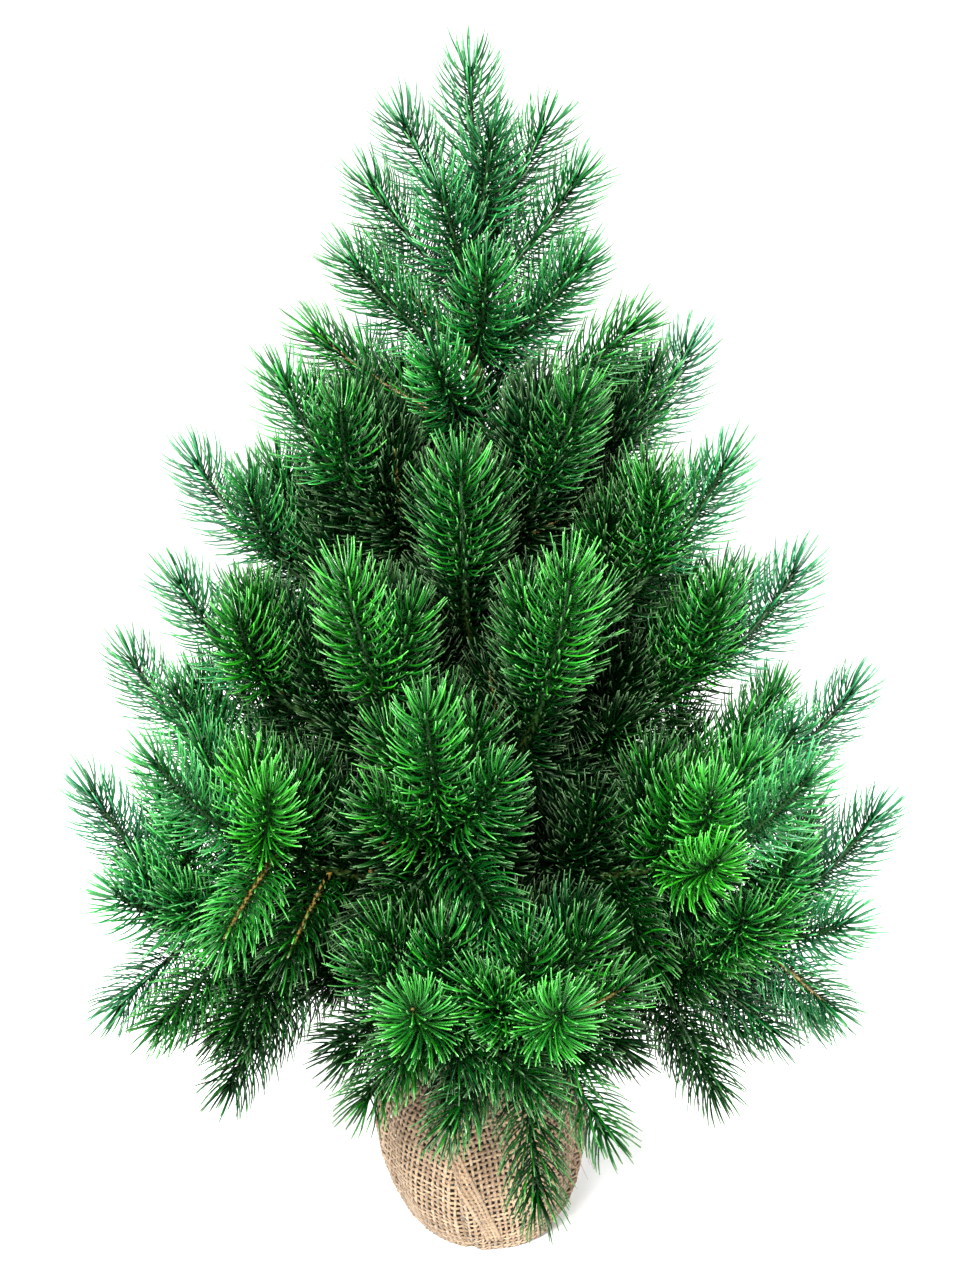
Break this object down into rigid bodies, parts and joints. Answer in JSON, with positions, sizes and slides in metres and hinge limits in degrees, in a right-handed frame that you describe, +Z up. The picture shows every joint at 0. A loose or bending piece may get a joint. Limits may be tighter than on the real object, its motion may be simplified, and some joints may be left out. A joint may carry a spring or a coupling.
{
  "type": "artificial tabletop tree",
  "caption": "Small artificial fir tree with bendable branches of moulded sprigs, on a weighted base wrapped in gathered burlap.",
  "frame": {"origin": "on the flat underside of the burlap, under the trunk's axis", "axes": "+Z up along the trunk, -Y towards the viewer of the front, +X to that viewer's right"},
  "size_m": [0.3789, 0.3725, 0.589],
  "materials": {
    "foliage": "satin",
    "wire": "matte",
    "tape": "matte",
    "pole": "satin",
    "burlap": "matte",
    "twine": "matte",
    "liner": "matte",
    "ballast": "matte"
  },
  "bodies": {
    "base": {"burlap_wrap": "burlap", "neck_tie": "twine", "pot_liner": "liner", "ballast_block": "ballast", "trunk_pole": "pole", "trunk_wrap": "tape", "leader_spray": "foliage"},
    "branch_01": {"branch_wire_01": "wire", "branch_spray_01": "foliage"},
    "branch_02": {"branch_wire_02": "wire", "branch_spray_02": "foliage"},
    "branch_03": {"branch_wire_03": "wire", "branch_spray_03": "foliage"},
    "branch_04": {"branch_wire_04": "wire", "branch_spray_04": "foliage"},
    "branch_05": {"branch_wire_05": "wire", "branch_spray_05": "foliage"},
    "branch_06": {"branch_wire_06": "wire", "branch_spray_06": "foliage"},
    "branch_07": {"branch_wire_07": "wire", "branch_spray_07": "foliage"},
    "branch_08": {"branch_wire_08": "wire", "branch_spray_08": "foliage"},
    "branch_09": {"branch_wire_09": "wire", "branch_spray_09": "foliage"},
    "branch_10": {"branch_wire_10": "wire", "branch_spray_10": "foliage"},
    "branch_11": {"branch_wire_11": "wire", "branch_spray_11": "foliage"},
    "branch_12": {"branch_wire_12": "wire", "branch_spray_12": "foliage"},
    "branch_13": {"branch_wire_13": "wire", "branch_spray_13": "foliage"},
    "branch_14": {"branch_wire_14": "wire", "branch_spray_14": "foliage"},
    "branch_15": {"branch_wire_15": "wire", "branch_spray_15": "foliage"},
    "branch_16": {"branch_wire_16": "wire", "branch_spray_16": "foliage"},
    "branch_17": {"branch_wire_17": "wire", "branch_spray_17": "foliage"},
    "branch_18": {"branch_wire_18": "wire", "branch_spray_18": "foliage"},
    "branch_19": {"branch_wire_19": "wire", "branch_spray_19": "foliage"},
    "branch_20": {"branch_wire_20": "wire", "branch_spray_20": "foliage"},
    "branch_21": {"branch_wire_21": "wire", "branch_spray_21": "foliage"},
    "branch_22": {"branch_wire_22": "wire", "branch_spray_22": "foliage"},
    "branch_23": {"branch_wire_23": "wire", "branch_spray_23": "foliage"},
    "branch_24": {"branch_wire_24": "wire", "branch_spray_24": "foliage"},
    "branch_25": {"branch_wire_25": "wire", "branch_spray_25": "foliage"},
    "branch_26": {"branch_wire_26": "wire", "branch_spray_26": "foliage"}
  },
  "joints": [
    {"name": "branch_01_bend", "type": "hinge", "parent": "base", "child": "branch_01", "pos_m": [-0.00805, -0.00262, 0.138], "axis": [-0.309, 0.9511, 0], "range_deg": [-14, 12]},
    {"name": "branch_02_bend", "type": "hinge", "parent": "base", "child": "branch_02", "pos_m": [-0.00134, -0.00844, 0.145], "axis": [-0.9877, 0.1564, 0], "range_deg": [-10, 10]},
    {"name": "branch_03_bend", "type": "hinge", "parent": "base", "child": "branch_03", "pos_m": [0.00178, -0.00836, 0.145], "axis": [-0.9781, -0.2079, 0], "range_deg": [-8, 8]},
    {"name": "branch_04_bend", "type": "hinge", "parent": "base", "child": "branch_04", "pos_m": [0.00817, -0.00281, 0.14], "axis": [-0.3256, -0.9455, 0], "range_deg": [-14, 12]},
    {"name": "branch_05_bend", "type": "hinge", "parent": "base", "child": "branch_05", "pos_m": [0.00624, 0.00602, 0.143], "axis": [0.6947, -0.7193, 0], "range_deg": [-14, 12]},
    {"name": "branch_06_bend", "type": "hinge", "parent": "base", "child": "branch_06", "pos_m": [-0.0037, 0.00759, 0.146], "axis": [0.8988, 0.4384, 0], "range_deg": [-14, 12]},
    {"name": "branch_07_bend", "type": "hinge", "parent": "base", "child": "branch_07", "pos_m": [-0.00835, 0.00147, 0.184], "axis": [0.1736, 0.9848, 0], "range_deg": [-12, 10]},
    {"name": "branch_08_bend", "type": "hinge", "parent": "base", "child": "branch_08", "pos_m": [-0.00645, -0.00504, 0.187], "axis": [-0.6157, 0.788, 0], "range_deg": [-6, 12]},
    {"name": "branch_09_bend", "type": "hinge", "parent": "base", "child": "branch_09", "pos_m": [-0.00132, -0.00835, 0.19], "axis": [-0.9877, 0.1564, 0], "range_deg": [-4, 12]},
    {"name": "branch_10_bend", "type": "hinge", "parent": "base", "child": "branch_10", "pos_m": [0.00662, -0.00499, 0.188], "axis": [-0.6018, -0.7986, 0], "range_deg": [-12, 10]},
    {"name": "branch_11_bend", "type": "hinge", "parent": "base", "child": "branch_11", "pos_m": [0.00846, 0.00059, 0.184], "axis": [0.0698, -0.9976, 0], "range_deg": [-12, 10]},
    {"name": "branch_12_bend", "type": "hinge", "parent": "base", "child": "branch_12", "pos_m": [0.00087, 0.00825, 0.188], "axis": [0.9945, -0.1045, 0], "range_deg": [-12, 12]},
    {"name": "branch_13_bend", "type": "hinge", "parent": "base", "child": "branch_13", "pos_m": [-0.00803, -0.002, 0.24], "axis": [-0.2419, 0.9703, 0], "range_deg": [-12, 10]},
    {"name": "branch_14_bend", "type": "hinge", "parent": "base", "child": "branch_14", "pos_m": [-0.00388, -0.00731, 0.24], "axis": [-0.8829, 0.4695, 0], "range_deg": [-12, 8]},
    {"name": "branch_15_bend", "type": "hinge", "parent": "base", "child": "branch_15", "pos_m": [0.00283, -0.00776, 0.244], "axis": [-0.9397, -0.342, 0], "range_deg": [-12, 12]},
    {"name": "branch_16_bend", "type": "hinge", "parent": "base", "child": "branch_16", "pos_m": [0.00813, -0.00173, 0.243], "axis": [-0.2079, -0.9781, 0], "range_deg": [-12, 8]},
    {"name": "branch_17_bend", "type": "hinge", "parent": "base", "child": "branch_17", "pos_m": [0.00532, 0.00634, 0.24], "axis": [0.766, -0.6428, 0], "range_deg": [-12, 12]},
    {"name": "branch_18_bend", "type": "hinge", "parent": "base", "child": "branch_18", "pos_m": [-0.00512, 0.00655, 0.243], "axis": [0.788, 0.6157, 0], "range_deg": [-12, 12]},
    {"name": "branch_19_bend", "type": "hinge", "parent": "base", "child": "branch_19", "pos_m": [-0.00801, 0.00084, 0.3], "axis": [0.1045, 0.9945, 0], "range_deg": [-12, 15]},
    {"name": "branch_20_bend", "type": "hinge", "parent": "base", "child": "branch_20", "pos_m": [-0.00056, -0.00797, 0.299], "axis": [-0.9976, 0.0698, 0], "range_deg": [-12, 15]},
    {"name": "branch_21_bend", "type": "hinge", "parent": "base", "child": "branch_21", "pos_m": [0.00725, -0.00338, 0.295], "axis": [-0.4226, -0.9063, 0], "range_deg": [-12, 15]},
    {"name": "branch_22_bend", "type": "hinge", "parent": "base", "child": "branch_22", "pos_m": [0.00164, 0.00772, 0.298], "axis": [0.9781, -0.2079, 0], "range_deg": [-12, 15]},
    {"name": "branch_23_bend", "type": "hinge", "parent": "base", "child": "branch_23", "pos_m": [-0.00668, -0.00386, 0.348], "axis": [-0.5, 0.866, 0], "range_deg": [-15, 20]},
    {"name": "branch_24_bend", "type": "hinge", "parent": "base", "child": "branch_24", "pos_m": [0.0042, -0.00672, 0.352], "axis": [-0.848, -0.5299, 0], "range_deg": [-15, 20]},
    {"name": "branch_25_bend", "type": "hinge", "parent": "base", "child": "branch_25", "pos_m": [0.0074, 0.00269, 0.35], "axis": [0.342, -0.9397, 0], "range_deg": [-15, 20]},
    {"name": "branch_26_bend", "type": "hinge", "parent": "base", "child": "branch_26", "pos_m": [-0.00466, 0.00641, 0.352], "axis": [0.809, 0.5878, 0], "range_deg": [-15, 20]}
  ]
}
